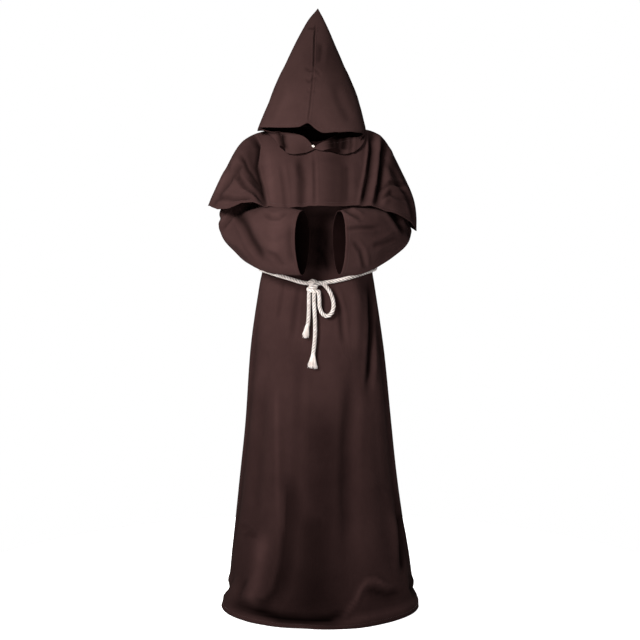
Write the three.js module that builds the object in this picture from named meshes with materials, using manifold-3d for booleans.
import * as THREE from "three";
import { mergeVertices } from "three/addons/utils/BufferGeometryUtils.js";
import Module from "manifold-3d";

// A friar costume in the hollow form it has when worn: a floor length robe with bell
// sleeves held across the front, an elbow length cape with a pointed hood, and a rope belt.
// Millimetres. x runs to the right as seen from the front, y to the back, z up.
// The origin is the middle of the neck base, where the neck and shoulders carry the costume.

// Driving dimensions
const HEM_Z = -1470;
const TIP_Z = 357;
const CLOTH = 2;
const SEAM_GAP = 0.3;
const HOOD_SEAM_GAP = 0.5;
const ROPE = 12.5;
const ROPE_REST = ROPE / 2 + 0.6;
const WAIST_SLACK = 2;
const WAIST_ROW = 4;
const WAIST_CLEAR = 5.8;
const SNAP_RADIUS = 4.5;
const SNAP_HEIGHT = 2.2;
const SNAP_OUT = 1;

// Grid fineness of the cloth walls and the rope
const ROBE_COLUMNS = 30;
const BACK_COLUMNS = 18;
const SLEEVE_COLUMNS = 20;
const CAPE_COLUMNS = 27;
const HOOD_COLUMNS = 18;
const YOKE_ROWS = 4;
const ROPE_SIDES = 8;
const NORMAL_STEP = 0.02;
const SHORTEST_EDGE = 2e-3;

const radians = THREE.MathUtils.degToRad;
const smooth = THREE.MathUtils.smoothstep;

// A table written as column names and rows of values, read as a list of named sizes.
function table(columns, rows) {
  return rows.map((row) => Object.fromEntries(columns.map((name, i) => [name, row[i]])));
}

// Rings round the body. left, right: half widths. front, mid, back: y of the ring's front,
// widest and back points. zFront, zLeft, zRight, zBack: its height there. square: 2 is an
// ellipse, more is squarer. spread: how far round the front's and back's own heights reach, 1 as
// on a tilted ellipse, less for a notch. seam: x of the front seam.
const RING = [
  "left", "right", "front", "mid", "back",
  "zFront", "zLeft", "zRight", "zBack", "square", "spread", "seam",
];

// The robe from the chest line at the armpits down to the hem.
const ROBE = table(RING, [
  [186, 186, -126, 0, 118, -215, -215, -215, -215, 2.3, 1, 0],
  [178, 178, -124, 0, 124, -290, -290, -290, -290, 2.1, 1, 0],
  [178, 178, -130, 0, 128, -362, -350, -350, -352, 2.2, 1, 0],
  [176, 174, -134, 0, 128, -428, -400, -400, -405, 2.2, 1, 0],
  [168, 166, -120, 0, 113, -468, -430, -430, -436, 2.1, 1, 0],
  [178, 173, -131, 0, 126, -505, -464, -464, -470, 2.1, 1, 0],
  [190, 184, -142, -2, 140, -560, -546, -546, -548, 2.1, 1, 0],
  [199, 193, -151, -4, 152, -630, -625, -625, -625, 2.1, 1, 0],
  [212, 211, -166, -6, 168, -765, -765, -765, -765, 2.1, 1, 0],
  [223, 225, -181, -8, 183, -905, -905, -905, -905, 2.1, 1, 0],
  [237, 239, -196, -10, 197, -1045, -1045, -1045, -1045, 2.1, 1, 0],
  [253, 259, -212, -12, 210, -1185, -1185, -1185, -1185, 2.15, 1, 0],
  [268, 281, -229, -15, 222, -1310, -1310, -1310, -1310, 2.2, 1, 0],
  [276, 292, -244, -18, 230, -1400, -1395, -1395, -1395, 2.1, 1, 0],
  [288, 304, -266, -18, 240, -1440, -1438, -1434, -1438, 2.05, 1, 0],
  [300, 312, -302, -16, 256, HEM_Z, HEM_Z, HEM_Z, HEM_Z, 2, 1, 0],
]);

// The cape from the neck seam down to its hem. The hem is lower over the right elbow.
const CAPE = table(RING, [
  [89, 88, -89, 0, 77, -49, 0.5, 1, 6.5, 2, 1, -8],
  [128, 124, -109, 0, 101, -68, -6, -4, -4, 2, 1, -9],
  [182, 165, -127, 0, 122, -92, -16, -12, -24, 2, 1, -10],
  [224, 203, -143, 0, 137, -118, -36, -36, -56, 2, 1, -11],
  [252, 229, -160, 0, 148, -144, -71, -82, -98, 2.1, 1, -12],
  [282, 264, -180, 0, 157, -172, -125, -150, -150, 2.2, 1.3, -12],
  [309, 294, -202, -4, 165, -202, -180, -228, -206, 2.4, 2.2, -13],
  [334, 300, -224, -8, 172, -233, -238, -316, -262, 2.6, 3, -13],
]);

// The hood from its tip to the front brim and then to the collar's top edge.
const HOOD = table(RING, [
  [0, 0, 10, 10, 10, TIP_Z, TIP_Z, TIP_Z, TIP_Z, 2, 1, 0],
  [34, 20, -6, 8, 30, 318, 320, 320, 320, 2, 1, -7],
  [61, 43, -34, 4, 55, 264, 266, 266, 266, 2, 1, -11],
  [88, 67, -63, -4, 78, 208, 212, 212, 212, 2.1, 1, -12],
  [113, 90, -91, -14, 97, 155, 158, 158, 158, 2.2, 1, -14],
  [137, 114, -120, -28, 113, 100, 102, 102, 102, 2.3, 1, -17],
  [159, 131, -147, -46, 122, 48, 48, 48, 56, 2.4, 1, -22],
  [181, 143, -172, -76, 122, 5, -7, -24, 22, 2.5, 0.35, -26],
  [182, 144, -123, -84, 118, -64, -18, -34, 8, 2.2, 0.5, -12],
]);
const BRIM_ROW = 7;
const COLLAR_ROW = 8;

// Half the angle of the face opening, between the brim and the collar.
const FACE_ANGLE = 76;

// How far down the cape the collar folds over, at each angle from the front: left and right
// are the place on the cape's table, out is the distance to the cape.
const COLLAR_FOLD = table(["angle", "left", "right", "out"], [
  [0, 1.25, 1.25, 6],
  [20, 2.25, 2, 9],
  [30, 2.95, 2.9, 10],
  [40, 2.85, 3.3, 10],
  [50, 2.2, 3.1, 10],
  [62, 1.95, 2.3, 10],
  [76, 1.8, 1.5, 10],
  [110, 1.75, 1.4, 10],
  [180, 1.6, 1.6, 7],
]);
const UNDER_COLLAR = 0.5;
const UNDER_COLLAR_OUT = 3.5;
const COLLAR_ROLL = { at: 0.75, out: 5, round: 0.6 };
const COLLAR_SEAM_OUT = 0.9;

// Where the hood meets the shoulders: its height over the cape, and how fast it lifts off.
const HOOD_REST = 13;
const HOOD_LIFT = 6;

// Robe yoke: neck edge, shoulder seam and the upright oval armhole.
const NECK_HALF = 84;
const NECK_DROP = 58;
const NECK_BACK = 72;
const SHOULDER = { x: 170, z: -47 };
const ARMPIT = { x: 186, z: -215 };
const ARMHOLE_FRONT = 58;
const NECK_SHARE = 0.46;
const NECK_BACK_DROP = 4;
const YOKE_BEND = { across: 0.4, depth: 0.95, up: 0.7 };
const YOKE_PULL = 3;

// Sleeves as rings that fan round the inner bend of the elbow. in: the point at the bend or
// the top edge, out: the point at the outline or the lower edge. ahead, behind: depth before
// and behind the line between them, turn: degrees that the depth line is turned outwards,
// hang: how much narrower the lower edge is.
const SLEEVE = ["inX", "inY", "inZ", "outX", "outY", "outZ", "ahead", "behind", "turn", "hang"];
const SLEEVE_LEFT = table(SLEEVE, [
  [-186, 0, -215, -170, 0, -47, 58, 58, 0, 0],
  [-198, -6, -224, -222, -5, -84, 66, 64, 0, 0],
  [-203, -14, -234, -258, -12, -146, 72, 66, 4, 0],
  [-204, -26, -240, -284, -20, -220, 74, 62, 10, 0],
  [-200, -48, -245, -296, -30, -296, 74, 52, 20, 0.05],
  [-190, -84, -247, -274, -50, -348, 70, 40, 30, 0.12],
  [-170, -124, -240, -234, -92, -388, 66, 34, 36, 0.2],
  [-146, -162, -235, -196, -140, -416, 62, 34, 36, 0.25],
  [-118, -192, -234, -150, -186, -434, 58, 38, 33, 0.25],
  [-84, -222, -241, -98, -216, -440, 54, 44, 28, 0.22],
  [-44, -238, -249, -45, -240, -440, 52, 50, 24, 0.18],
]);
const SLEEVE_RIGHT = table(SLEEVE, [
  [186, 0, -215, 170, 0, -47, 58, 58, 0, 0],
  [198, -6, -224, 204, -5, -92, 60, 58, 0, 0],
  [203, -14, -236, 230, -12, -152, 62, 60, -4, 0],
  [205, -26, -246, 260, -20, -222, 64, 58, -10, 0],
  [202, -48, -250, 270, -30, -288, 60, 50, -20, 0.05],
  [192, -84, -250, 274, -50, -344, 58, 40, -30, 0.12],
  [174, -122, -241, 232, -92, -384, 64, 34, -36, 0.2],
  [152, -160, -240, 190, -136, -410, 62, 34, -36, 0.25],
  [126, -190, -242, 152, -180, -430, 58, 38, -33, 0.25],
  [96, -220, -241, 106, -214, -437, 54, 44, -28, 0.22],
  [60, -236, -249, 60, -238, -438, 52, 50, -22, 0.18],
]);

// The sleeves stand a little off the armholes that they are sewn to.
const SLEEVE_OUT = 1;

// Folds fade out where the cloth turns edge on.
const FOLD_FADE = 0.35;

// Large folds, as the line they follow seen from the front or the back. depth is how far a
// trough goes in, and a ridge has a negative one. face: -1 on the front, 1 on the back.
const FOLD = ["face", "width", "depth", "line"];
const ROBE_FOLDS = table(FOLD, [
  [-1, 22, 15, [[156, -460], [162, -560], [158, -690], [156, -790]]],
  [-1, 30, 13, [[110, -740], [96, -1000], [98, -1330]]],
  [-1, 34, -8, [[-120, -800], [-124, -1000], [-132, -1180]]],
  [-1, 32, 10, [[-172, -700], [-190, -900], [-204, -1180]]],
  [-1, 30, 9, [[190, -900], [218, -1120], [238, -1330]]],
  [-1, 22, 12, [[-226, -1438], [-150, -1446], [-40, -1452], [60, -1446], [104, -1420]]],
  [-1, 38, -12, [[124, -1430], [150, -1350], [214, -1345], [250, -1390]]],
  [-1, 34, -10, [[-110, -1330], [-134, -1400], [-190, -1420]]],
  [1, 36, 16, [[-120, -560], [-138, -900], [-160, -1400]]],
  [1, 38, 15, [[-30, -520], [-46, -900], [-50, -1440]]],
  [1, 36, 16, [[62, -540], [84, -900], [100, -1440]]],
  [1, 34, 13, [[146, -560], [172, -900], [200, -1380]]],
]);
const CAPE_FOLDS = table(FOLD, [
  [-1, 20, 15, [[-196, -50], [-174, -110], [-166, -165], [-158, -225]]],
  [-1, 18, 9, [[-246, -130], [-216, -172], [-172, -205]]],
  [-1, 20, 9, [[-36, -100], [-42, -160], [-40, -226]]],
  [-1, 17, 15, [[160, -40], [152, -110], [130, -226]]],
  [-1, 17, -6, [[182, -60], [174, -140], [152, -226]]],
  [-1, 17, 13, [[206, -60], [196, -130], [178, -226]]],
  [-1, 17, 8, [[250, -168], [206, -176]]],
  [1, 28, 12, [[-190, -90], [-214, -200], [-230, -260]]],
  [1, 28, 11, [[-70, -110], [-84, -200], [-90, -262]]],
  [1, 28, 12, [[64, -100], [86, -200], [94, -262]]],
  [1, 26, 11, [[176, -110], [200, -200], [214, -290]]],
]);
const SLEEVE_FOLDS = table(FOLD, [
  [-1, 18, 8, [[-246, -262], [-226, -320], [-204, -358], [-160, -384], [-150, -432]]],
  [-1, 18, 7, [[-292, -300], [-250, -252]]],
  [-1, 22, -6, [[-150, -300], [-120, -330]]],
  [-1, 17, 7, [[92, -312], [150, -318], [200, -304]]],
  [-1, 16, 6, [[82, -246], [140, -268]]],
  [-1, 18, 8, [[218, -244], [268, -308]]],
  [1, 20, 9, [[-280, -250], [-200, -300]]],
  [1, 20, 9, [[270, -262], [196, -310]]],
]);
const HOOD_FOLDS = table(FOLD, [
  [-1, 9, 4, [[-20, 176], [2, 150], [26, 140]]],
  [1, 22, 8, [[-50, 120], [-64, 40]]],
  [1, 22, 8, [[42, 110], [56, 36]]],
]);

// Rope routes, hand placed along the skirt's front.
const KNOT = { x: -14, y: -140, z: -474, halfWidth: 15, halfDepth: 14, halfHeight: 17 };
const LOOP_ROUTE = [
  [1.5, -145, -466], [14, -146, -468], [30, -149, -484], [42, -153, -508], [46, -156, -533],
  [41, -158, -553], [27, -159, -563], [13, -158, -556], [5, -156, -537], [4, -153, -514],
  [2, -150, -493],
];
const SHORT_ROUTE = [
  [-25.5, -145, -488], [-27, -149, -505], [-27, -154, -535], [-28, -158, -566], [-30, -161, -592],
];
const LONG_ROUTE = [
  [-12, -145, -490], [-12, -150, -510], [-11, -155, -540], [-9, -160, -580], [-9, -164, -620],
  [-12, -167, -655], [-15, -170, -680],
];
const SHORT_TUFT = { strands: 16, length: 32, spread: 6, lean: -7 };
const LONG_TUFT = { strands: 22, length: 34, spread: 12, lean: -2 };
const STRAND_WIDTH = 2.2;
const TUFT_HEAD = 7;
const TUFT_ROOTS = 0.4 * ROPE;
const TUFT_FLATNESS = 0.55;
const TUFT_FORWARD = 2;
const GOLDEN_TURN = 137.5;
const UNEVEN = { share: 0.14, turn: 71 };

// Catmull-Rom value of every numeric column between the rows of a table.
function rowAt(rows, place) {
  const last = rows.length - 1;
  const whole = Math.min(Math.max(Math.floor(place), 0), last - 1);
  const t = place - whole;
  const at = (i) => rows[Math.min(Math.max(i, 0), last)];
  const [a, b, c, d] = [at(whole - 1), at(whole), at(whole + 1), at(whole + 2)];
  const mix = (name) => {
    const rise = (c[name] - a[name]) / 2;
    const fall = (d[name] - b[name]) / 2;
    const gap = c[name] - b[name];
    return b[name] + t * (rise + t * (3 * gap - 2 * rise - fall + t * (rise + fall - 2 * gap)));
  };
  return Object.fromEntries(Object.keys(b).map((name) => [name, mix(name)]));
}

// A point of a ring in the direction of an angle, 0 at the front and 90 at the right.
function ringPoint(row, angle) {
  const s = Math.sin(radians(angle));
  const c = Math.cos(radians(angle));
  const half = s < 0 ? row.left : row.right;
  const depth = c > 0 ? row.mid - row.front : row.back - row.mid;
  const reach = (Math.abs(s / Math.max(half, 1e-6)) ** row.square
    + Math.abs(c / Math.max(depth, 1e-6)) ** row.square) ** (-1 / row.square);
  const ownHeight = 1 - Math.abs(s) ** (2 * row.spread);
  const toFront = c > 0 ? ownHeight : 0;
  const toBack = c > 0 ? 0 : ownHeight;
  const zSide = s < 0 ? row.zLeft : row.zRight;
  return new THREE.Vector3(
    reach * s + row.seam * Math.max(c, 0) ** 2,
    row.mid - reach * c,
    zSide + (row.zFront - zSide) * toFront + (row.zBack - zSide) * toBack,
  );
}

// Distance in the x z plane from a point to a line of points.
function lineDistance(x, z, line) {
  let nearest = Infinity;
  for (let i = 0; i + 1 < line.length; i++) {
    const [ax, az] = line[i];
    const [bx, bz] = line[i + 1];
    const share = ((x - ax) * (bx - ax) + (z - az) * (bz - az)) / ((bx - ax) ** 2 + (bz - az) ** 2);
    const t = Math.min(Math.max(share, 0), 1);
    nearest = Math.min(nearest, Math.hypot(x - ax - t * (bx - ax), z - az - t * (bz - az)));
  }
  return nearest;
}

// How far the folds push a point in, towards the inside of the garment.
function foldDepth(folds, point, back) {
  let depth = 0;
  for (const fold of folds) {
    if ((fold.face > 0) !== back) continue;
    const distance = lineDistance(point.x, point.z, fold.line);
    depth += fold.depth * Math.exp(-((distance / fold.width) ** 2));
  }
  return depth;
}

// A ring surface with its folds pressed in along the ring's own direction.
function foldedRings(rows, folds) {
  return (angle, place) => {
    const point = ringPoint(rowAt(rows, place), angle);
    const facing = smooth(Math.abs(Math.cos(radians(angle))), 0, FOLD_FADE);
    const depth = foldDepth(folds, point, Math.cos(radians(angle)) < 0) * facing;
    point.x -= depth * Math.sin(radians(angle));
    point.y += depth * Math.cos(radians(angle));
    return point;
  };
}

// Evenly spaced values from one end to the other.
function span(from, to, steps) {
  return Array.from({ length: steps + 1 }, (_, i) => from + ((to - from) * i) / steps);
}

// Outward normal of a surface, from its slopes along both grid directions.
function normalOf(surface, u, v, uStep, vStep) {
  const along = surface(u + uStep, v).sub(surface(u - uStep, v));
  const down = surface(u, v + vStep).sub(surface(u, v - vStep));
  return along.cross(down).normalize();
}

// A closed mesh from points and triangles, without triangles that have shrunk to a line.
function meshGeometry(points, triangles) {
  const positions = [];
  for (const corners of triangles) {
    const [a, b, c] = corners.map((i) => points[i]);
    const shortest = Math.min(a.distanceTo(b), b.distanceTo(c), c.distanceTo(a));
    if (shortest > SHORTEST_EDGE) positions.push(...a, ...b, ...c);
  }
  const geometry = new THREE.BufferGeometry();
  geometry.setAttribute("position", new THREE.Float32BufferAttribute(positions, 3));
  return geometry;
}

// A cloth wall: a grid of outer points, the same grid moved in by the cloth's thickness, and
// a rim along every free edge. turned is 1 or -1 so that the normals point out of the garment.
// keep says which cells are cloth. tipped rows have the inner point straight below the outer.
// flat names the axis across a seam, so that a seam's edge stays in the seam's plane.
function clothWall(surface, us, vs, options = {}) {
  const { closed = false, turned = 1, keep = () => true } = options;
  const { tipped = () => false, flat = () => null } = options;
  const uStep = (us[1] - us[0]) / 8;
  const vStep = NORMAL_STEP;
  const outer = [];
  const inner = [];
  const columns = closed ? us.length - 1 : us.length;
  for (const v of vs) {
    for (const u of us.slice(0, columns)) {
      const point = surface(u, v);
      const into = normalOf(surface, u, v, uStep, vStep).multiplyScalar(-turned);
      if (flat(u, v)) into[flat(u, v)] = 0;
      if (tipped(v)) into.set(0, 0, -5);
      else into.normalize();
      outer.push(point);
      inner.push(point.clone().addScaledVector(into, CLOTH));
    }
  }
  const points = [...outer, ...inner];
  const depth = outer.length;
  const triangles = [];
  const edges = new Set();
  const quad = (a, b, c, d) => triangles.push([a, b, c], [a, c, d]);
  const cells = [];
  for (let i = 0; i + 1 < vs.length; i++) {
    for (let j = 0; j + 1 < us.length; j++) {
      if (!keep((us[j] + us[j + 1]) / 2, (vs[i] + vs[i + 1]) / 2)) continue;
      const next = (j + 1) % columns;
      const [upper, lower] = [i * columns, (i + 1) * columns];
      const square = [upper + j, upper + next, lower + next, lower + j];
      cells.push(turned > 0 ? square : square.reverse());
    }
  }
  for (const [a, b, c, d] of cells) {
    quad(a, b, c, d);
    quad(d + depth, c + depth, b + depth, a + depth);
    for (const [p, q] of [[a, b], [b, c], [c, d], [d, a]]) edges.add(p + " " + q);
  }
  for (const edge of edges) {
    const [p, q] = edge.split(" ").map(Number);
    if (!edges.has(q + " " + p)) quad(q, p, p + depth, q + depth);
  }
  return meshGeometry(points, triangles);
}

// The armhole as an upright oval. side is -1 on the left, turn is 0 at the shoulder.
function armholePoint(side, turn, face) {
  const share = (1 + Math.cos(radians(turn))) / 2;
  return new THREE.Vector3(
    side * (ARMPIT.x + (SHOULDER.x - ARMPIT.x) * share),
    face * ARMHOLE_FRONT * Math.sin(radians(turn)),
    ARMPIT.z + (SHOULDER.z - ARMPIT.z) * share,
  );
}

// The robe's top edge from the left shoulder over the neck to the right shoulder.
function yokeEdge(across, face) {
  const side = Math.sign(across) || 1;
  const share = Math.abs(across);
  if (share > NECK_SHARE) {
    const t = (share - NECK_SHARE) / (1 - NECK_SHARE);
    const x = NECK_HALF + (SHOULDER.x - NECK_HALF) * t;
    return new THREE.Vector3(side * x, 0, SHOULDER.z * t);
  }
  const turn = (across / NECK_SHARE) * 90;
  const depth = face < 0 ? NECK_HALF : NECK_BACK;
  const drop = face < 0 ? NECK_DROP : NECK_BACK_DROP;
  const c = Math.cos(radians(turn));
  return new THREE.Vector3(NECK_HALF * Math.sin(radians(turn)), face * depth * c, -drop * c * c);
}

// The curve from the chest line over its bend to the yoke's edge, at a rise from 0 to 1.
function yokeCurve(chest, edge, rise) {
  const bend = new THREE.Vector3(
    chest.x + (edge.x - chest.x) * YOKE_BEND.across,
    chest.y * YOKE_BEND.depth,
    chest.z + (edge.z - chest.z) * YOKE_BEND.up,
  );
  return chest.clone().multiplyScalar((1 - rise) ** 2)
    .addScaledVector(bend, 2 * rise * (1 - rise))
    .addScaledVector(edge, rise ** 2);
}

// A robe panel. across runs from -1 to 1, place below 0 is the yoke above the chest line.
function robePanel(face) {
  const rings = foldedRings(ROBE, ROBE_FOLDS);
  return (across, place) => {
    const angle = face < 0 ? across * 90 : 180 - across * 90;
    if (place >= 0) return rings(angle, place);
    const rise = Math.min(-place / YOKE_ROWS, 1);
    const side = Math.sign(across) || 1;
    const sideChest = rings(face < 0 ? side * 90 : 180 - side * 90, 0);
    const armhole = armholePoint(side, 180 * (1 - rise), face);
    const pull = armhole.sub(yokeCurve(sideChest, yokeEdge(side, face), rise));
    return yokeCurve(rings(angle, 0), yokeEdge(across, face), rise)
      .addScaledVector(pull, Math.abs(across) ** YOKE_PULL);
  };
}

// A sleeve surface. turn runs round the tube, place along it.
function sleeveSurface(rows, side) {
  return (turn, place) => {
    const row = rowAt(rows, place);
    const c = Math.cos(radians(turn));
    const s = Math.sin(radians(turn));
    const middle = new THREE.Vector3(row.inX + row.outX, row.inY + row.outY, row.inZ + row.outZ);
    const half = new THREE.Vector3(row.outX - row.inX, row.outY - row.inY, row.outZ - row.inZ);
    const width = (s > 0 ? row.ahead : row.behind) * (1 - row.hang * c);
    const turned = radians(row.turn);
    const depthLine = new THREE.Vector3(-Math.sin(turned), -Math.cos(turned), 0);
    const point = middle.multiplyScalar(0.5)
      .addScaledVector(half, c / 2)
      .addScaledVector(depthLine, width * s);
    const start = smooth(place, 2, 4);
    const depth = start * foldDepth(SLEEVE_FOLDS, point, s < 0) * Math.abs(s);
    point.addScaledVector(depthLine, -Math.sign(s) * depth);
    point.x += side * SLEEVE_OUT;
    return point;
  };
}

const capeSurface = foldedRings(CAPE, CAPE_FOLDS);
const hoodCone = foldedRings(HOOD, HOOD_FOLDS);

// A point over the cape at a place of its table, moved out by a distance.
function overCape(angle, place, out) {
  const normal = normalOf(capeSurface, angle, place, 1, NORMAL_STEP).negate();
  if (angle % 180 === 0) normal.x = 0;
  return capeSurface(angle, place).addScaledVector(normal, out);
}

// Height of the cape over a point of the ground plan.
function capeHeight(x, y) {
  const angle = THREE.MathUtils.radToDeg(Math.atan2(x, -y));
  let [low, high] = [0, CAPE.length - 1];
  while (high - low > 0.01) {
    const middle = (low + high) / 2;
    const point = ringPoint(rowAt(CAPE, middle), angle);
    if (Math.hypot(point.x, point.y) < Math.hypot(x, y)) low = middle;
    else high = middle;
  }
  return ringPoint(rowAt(CAPE, low), angle).z;
}

// The hood's cone, which rests on the cape where it reaches the shoulders.
function restingCone(angle, place) {
  const point = hoodCone(angle, place);
  const rest = HOOD_REST + HOOD_LIFT * Math.max(COLLAR_ROW - place, 0);
  if (place > BRIM_ROW - 2) point.z = Math.max(point.z, capeHeight(point.x, point.y) + rest);
  return point;
}

// Rows of the hood: cone, brim, collar edge, collar roll, fold, under the fold, neck seam.
function hoodSurface(angle, place) {
  if (place <= COLLAR_ROW) return restingCone(angle, place);
  const top = restingCone(angle, COLLAR_ROW);
  const seam = HOOD[COLLAR_ROW].seam * Math.max(Math.cos(radians(angle)), 0) ** 2;
  const around = THREE.MathUtils.radToDeg(Math.atan2(top.x - seam, -top.y));
  const bearing = Math.abs(angle) === 180 ? angle : around;
  const fold = foldRow(bearing);
  const low = overCape(bearing, fold.at, fold.out);
  const roll = overCape(bearing, fold.at * COLLAR_ROLL.at, fold.out + COLLAR_ROLL.out);
  roll.lerp(top.clone().lerp(low, 0.5), COLLAR_ROLL.round);
  const under = overCape(bearing, fold.at * UNDER_COLLAR, UNDER_COLLAR_OUT);
  const sewn = overCape(bearing, 0, COLLAR_SEAM_OUT);
  const path = [top, roll, low, under, sewn];
  const along = Math.min(place - COLLAR_ROW, path.length - 1);
  const step = Math.min(Math.floor(along), path.length - 2);
  return path[step].clone().lerp(path[step + 1], along - step);
}

// The collar's fold at an angle, read between the rows of its table.
function foldRow(angle) {
  const last = COLLAR_FOLD.length - 1;
  let i = 0;
  while (i < last - 1 && COLLAR_FOLD[i + 1].angle < Math.abs(angle)) i += 1;
  const [low, high] = [COLLAR_FOLD[i], COLLAR_FOLD[i + 1]];
  const share = (Math.abs(angle) - low.angle) / (high.angle - low.angle);
  const side = angle < 0 ? "left" : "right";
  return {
    at: THREE.MathUtils.lerp(low[side], high[side], share),
    out: THREE.MathUtils.lerp(low.out, high.out, share),
  };
}

const wasm = await Module();
wasm.setup();

// A three.js geometry as a manifold solid, and back.
function solidOf(geometry) {
  const plain = geometry.clone();
  plain.deleteAttribute("normal");
  plain.deleteAttribute("uv");
  const merged = mergeVertices(plain, 1e-4);
  return new wasm.Manifold(new wasm.Mesh({
    numProp: 3,
    vertProperties: merged.attributes.position.array,
    triVerts: new Uint32Array(merged.index.array),
  }));
}

function geometryOf(solid) {
  const mesh = solid.getMesh();
  const geometry = new THREE.BufferGeometry();
  geometry.setAttribute("position", new THREE.BufferAttribute(mesh.vertProperties, 3));
  geometry.setIndex(new THREE.BufferAttribute(mesh.triVerts, 1));
  return geometry;
}

// A tube of regular section along a smooth curve.
function tube(points, diameter, sides, steps) {
  const route = points.map((p) => new THREE.Vector3(...p));
  const curve = new THREE.CatmullRomCurve3(route, false, "centripetal");
  const section = new THREE.Shape();
  for (const turn of span(0, 360, sides).slice(0, sides)) {
    const x = (diameter / 2) * Math.cos(radians(turn));
    const y = (diameter / 2) * Math.sin(radians(turn));
    if (turn === 0) section.moveTo(x, y);
    else section.lineTo(x, y);
  }
  section.closePath();
  return new THREE.ExtrudeGeometry(section, { steps, bevelEnabled: false, extrudePath: curve });
}

// The belt's route: the robe's waist ring moved out, from one side of the knot to the other.
function waistRoute() {
  return span(WAIST_CLEAR, 360 - WAIST_CLEAR, 44).map((angle) => {
    const point = ringPoint(ROBE[WAIST_ROW], angle);
    const outward = new THREE.Vector3(Math.sin(radians(angle)), -Math.cos(radians(angle)), 0);
    const toKnot = smooth(Math.abs(angle - 180), 140, 180 - WAIST_CLEAR);
    point.addScaledVector(outward, ROPE_REST + WAIST_SLACK * (1 + toKnot));
    point.x += KNOT.x * toKnot;
    return point.toArray();
  });
}

// The knot as a rounded body that the rope's runs end against.
function knotGeometry() {
  const core = new THREE.SphereGeometry(1, 14, 9);
  core.scale(KNOT.halfWidth, KNOT.halfDepth, KNOT.halfHeight);
  core.translate(KNOT.x, KNOT.y, KNOT.z);
  return core;
}

// A frayed end: strands that leave a short whipped head and spread as they hang.
function tuftGeometry(route, tuft) {
  const end = new THREE.Vector3(...route[route.length - 1]);
  const lift = end.clone().sub(new THREE.Vector3(...route[route.length - 2])).normalize();
  const top = end.clone().addScaledVector(lift, SEAM_GAP);
  const foot = top.clone().addScaledVector(lift, TUFT_HEAD);
  const middle = top.clone().lerp(foot, 0.5);
  let solid = solidOf(tube([top, middle, foot], ROPE, 10, 2));
  for (const i of span(0, tuft.strands - 1, tuft.strands - 1)) {
    const share = (i + 0.5) / tuft.strands;
    const turn = i * GOLDEN_TURN;
    const from = TUFT_ROOTS * Math.sqrt(share);
    const to = from + tuft.spread * Math.sqrt(share);
    const uneven = UNEVEN.share * (Math.cos(radians(i * UNEVEN.turn)) - 1);
    const cut = tuft.length * (1 + uneven);
    const at = (radius, down) => [
      foot.x + radius * Math.cos(radians(turn)) + (tuft.lean * down) / tuft.length,
      foot.y + radius * TUFT_FLATNESS * Math.sin(radians(turn)) - (TUFT_FORWARD * down) / tuft.length,
      foot.z - down,
    ];
    const strand = [at(from, -TUFT_HEAD / 2), at((from + to) / 2, cut * 0.4), at(to, cut)];
    solid = solid.add(solidOf(tube(strand, STRAND_WIDTH, 3, 2)));
  }
  return geometryOf(solid);
}

// Materials
const satin = (color) => new THREE.MeshStandardMaterial({ color, roughness: 0.55, metalness: 0 });
const brownCloth = satin(0x4b3230);
const hoodCloth = satin(0x4f3634);
const cottonRope = new THREE.MeshStandardMaterial({ color: 0xd6cbc1, roughness: 0.9, metalness: 0 });
const snapMetal = new THREE.MeshStandardMaterial({ color: 0xb9b2a8, roughness: 0.35, metalness: 0.8 });

const costume = new THREE.Group();
costume.name = "friar_costume";

// Adds one named piece, set apart from its neighbour by a small shift.
function addPiece(name, geometry, material, shift = [0, 0, 0]) {
  const mesh = new THREE.Mesh(geometry, material);
  mesh.name = name;
  mesh.position.set(...shift);
  costume.add(mesh);
}

function addRobe() {
  const skirtRows = span(7, 12, 10);
  const robeRows = [...span(-YOKE_ROWS, 6, YOKE_ROWS + 6), ...skirtRows, ...span(13, 15, 2)];
  const half = SEAM_GAP / 2;
  const onShoulder = (u, v) => v === -YOKE_ROWS && Math.abs(u) > NECK_SHARE;
  const flat = (u, v) => ((Math.abs(u) === 1 && v >= 0) || onShoulder(u, v) ? "y" : null);
  const front = clothWall(robePanel(-1), span(-1, 1, ROBE_COLUMNS), robeRows, { turned: -1, flat });
  const back = clothWall(robePanel(1), span(-1, 1, BACK_COLUMNS), robeRows, { flat });
  addPiece("robe_front", front, brownCloth, [0, -half, 0]);
  addPiece("robe_back", back, brownCloth, [0, half, 0]);
}

function addSleeves() {
  const turns = span(0, 360, SLEEVE_COLUMNS);
  const places = span(0, SLEEVE_LEFT.length - 1, 14);
  const flat = (turn, place) => (place === 0 ? "x" : null);
  const left = clothWall(sleeveSurface(SLEEVE_LEFT, -1), turns, places, { closed: true, turned: -1, flat });
  const right = clothWall(sleeveSurface(SLEEVE_RIGHT, 1), turns, places, { closed: true, flat });
  addPiece("robe_sleeve_left", left, brownCloth);
  addPiece("robe_sleeve_right", right, brownCloth);
}

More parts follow.
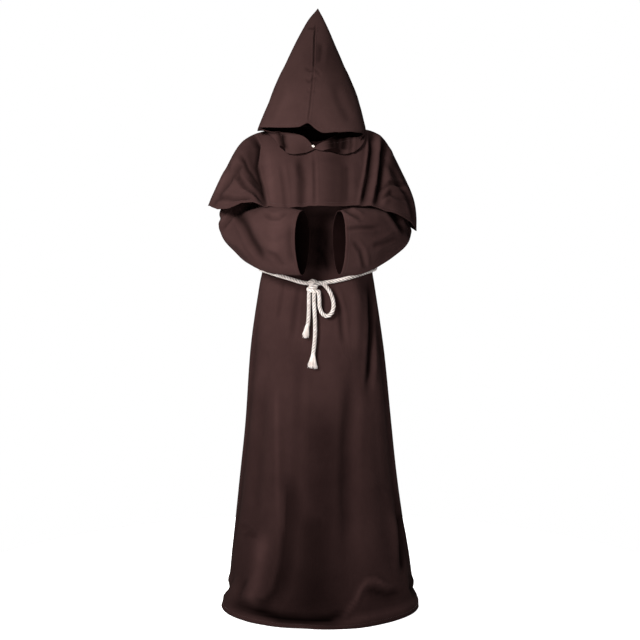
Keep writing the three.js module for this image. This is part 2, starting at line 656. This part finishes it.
// The two halves of a piece that is sewn along its middle front and middle back.
function addHalves(name, surface, columns, places, material, gap, options) {
  const flat = (u) => (u % 180 === 0 ? "x" : null);
  const sewn = { turned: -1, flat, ...options };
  const left = clothWall(surface, span(-180, 0, columns), places, sewn);
  const right = clothWall(surface, span(0, 180, columns), places, sewn);
  addPiece(name + "_left", left, material, [-gap / 2, 0, 0]);
  addPiece(name + "_right", right, material, [gap / 2, 0, 0]);
}

function addCape() {
  const places = span(0, CAPE.length - 1, 12);
  addHalves("cape", capeSurface, CAPE_COLUMNS, places, brownCloth, SEAM_GAP, {});
}

function addHood() {
  const places = [...span(0, BRIM_ROW, 9), ...span(COLLAR_ROW, COLLAR_ROW + 4, 4)];
  const isFace = (angle, place) => place > BRIM_ROW && place < COLLAR_ROW && Math.abs(angle) < FACE_ANGLE;
  addHalves("hood", hoodSurface, HOOD_COLUMNS, places, hoodCloth, HOOD_SEAM_GAP, {
    keep: (angle, place) => !isFace(angle, place),
    tipped: (place) => place === 0,
  });
}

function addSnap() {
  const spot = hoodSurface(-5, COLLAR_ROW + 0.5);
  const disc = new THREE.CylinderGeometry(SNAP_RADIUS, SNAP_RADIUS, SNAP_HEIGHT, 16);
  addPiece("neck_snap", disc, snapMetal, [spot.x, spot.y - SNAP_HEIGHT - SNAP_OUT, spot.z]);
}

function addBelt() {
  addPiece("belt_waist", tube(waistRoute(), ROPE, ROPE_SIDES, 50), cottonRope);
  addPiece("belt_knot", knotGeometry(), cottonRope);
  addPiece("belt_loop", tube(LOOP_ROUTE, ROPE, ROPE_SIDES, 20), cottonRope);
  addPiece("belt_end_short", tube(SHORT_ROUTE, ROPE, ROPE_SIDES, 8), cottonRope);
  addPiece("belt_end_long", tube(LONG_ROUTE, ROPE, ROPE_SIDES, 14), cottonRope);
  addPiece("belt_tuft_short", tuftGeometry(SHORT_ROUTE, SHORT_TUFT), cottonRope);
  addPiece("belt_tuft_long", tuftGeometry(LONG_ROUTE, LONG_TUFT), cottonRope);
}

addRobe();
addSleeves();
addCape();
addHood();
addSnap();
addBelt();

export default costume;
